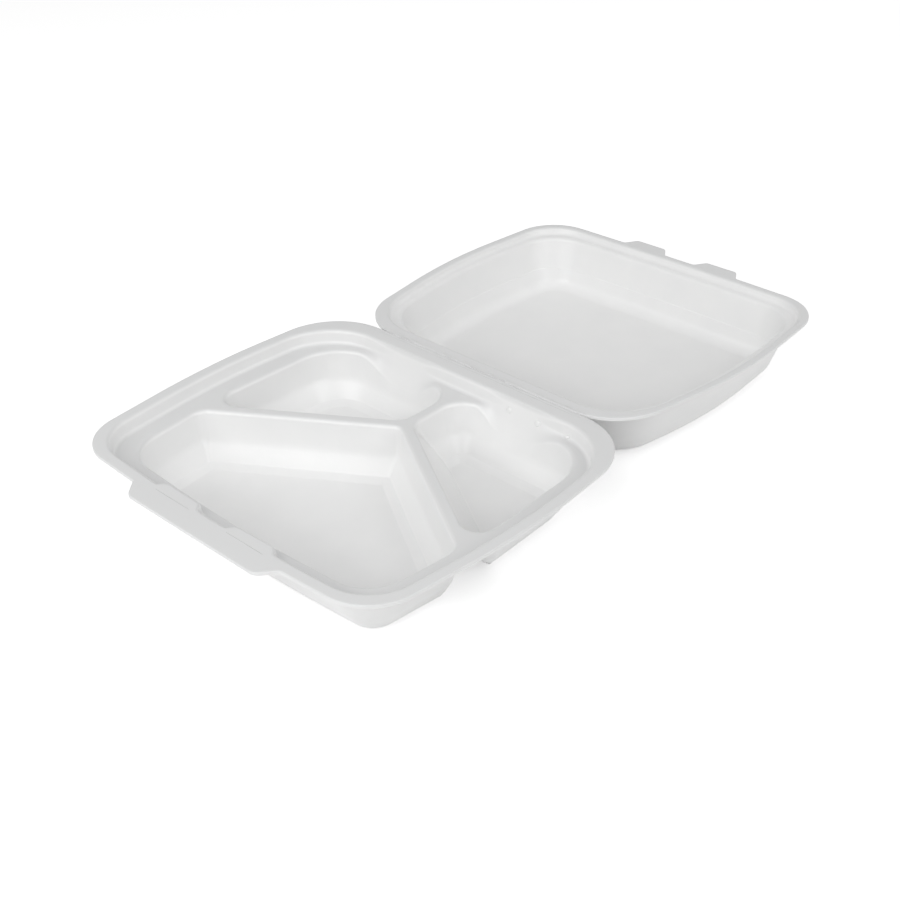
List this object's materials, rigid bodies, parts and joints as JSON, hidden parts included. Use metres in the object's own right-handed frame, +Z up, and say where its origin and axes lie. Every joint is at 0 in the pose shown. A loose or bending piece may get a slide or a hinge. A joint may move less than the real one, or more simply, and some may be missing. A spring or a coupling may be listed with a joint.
{
  "type": "food_container",
  "caption": "Hinged foam clamshell meal container lying open, with a compartmented base tray, a plain lid and locking tabs.",
  "frame": {"origin": "On the ground under the middle of the open container's bounding box.", "axes": "The hinge runs along X. The base tray lies on the -Y side and the opened lid on the +Y side. Z is up out of the compartments."},
  "size_m": [0.2356, 0.4034, 0.0407],
  "materials": {
    "foam": "smooth satin skin of expanded polystyrene foam"
  },
  "bodies": {
    "base": {"base_tray": "foam"},
    "lid_body": {"lid": "foam"}
  },
  "joints": [
    {"name": "lid_hinge", "type": "hinge", "parent": "base", "child": "lid_body", "pos_m": [0, -0.00074, 0.04085], "axis": [1, 0, 0], "range_deg": [0, 180.8]}
  ]
}
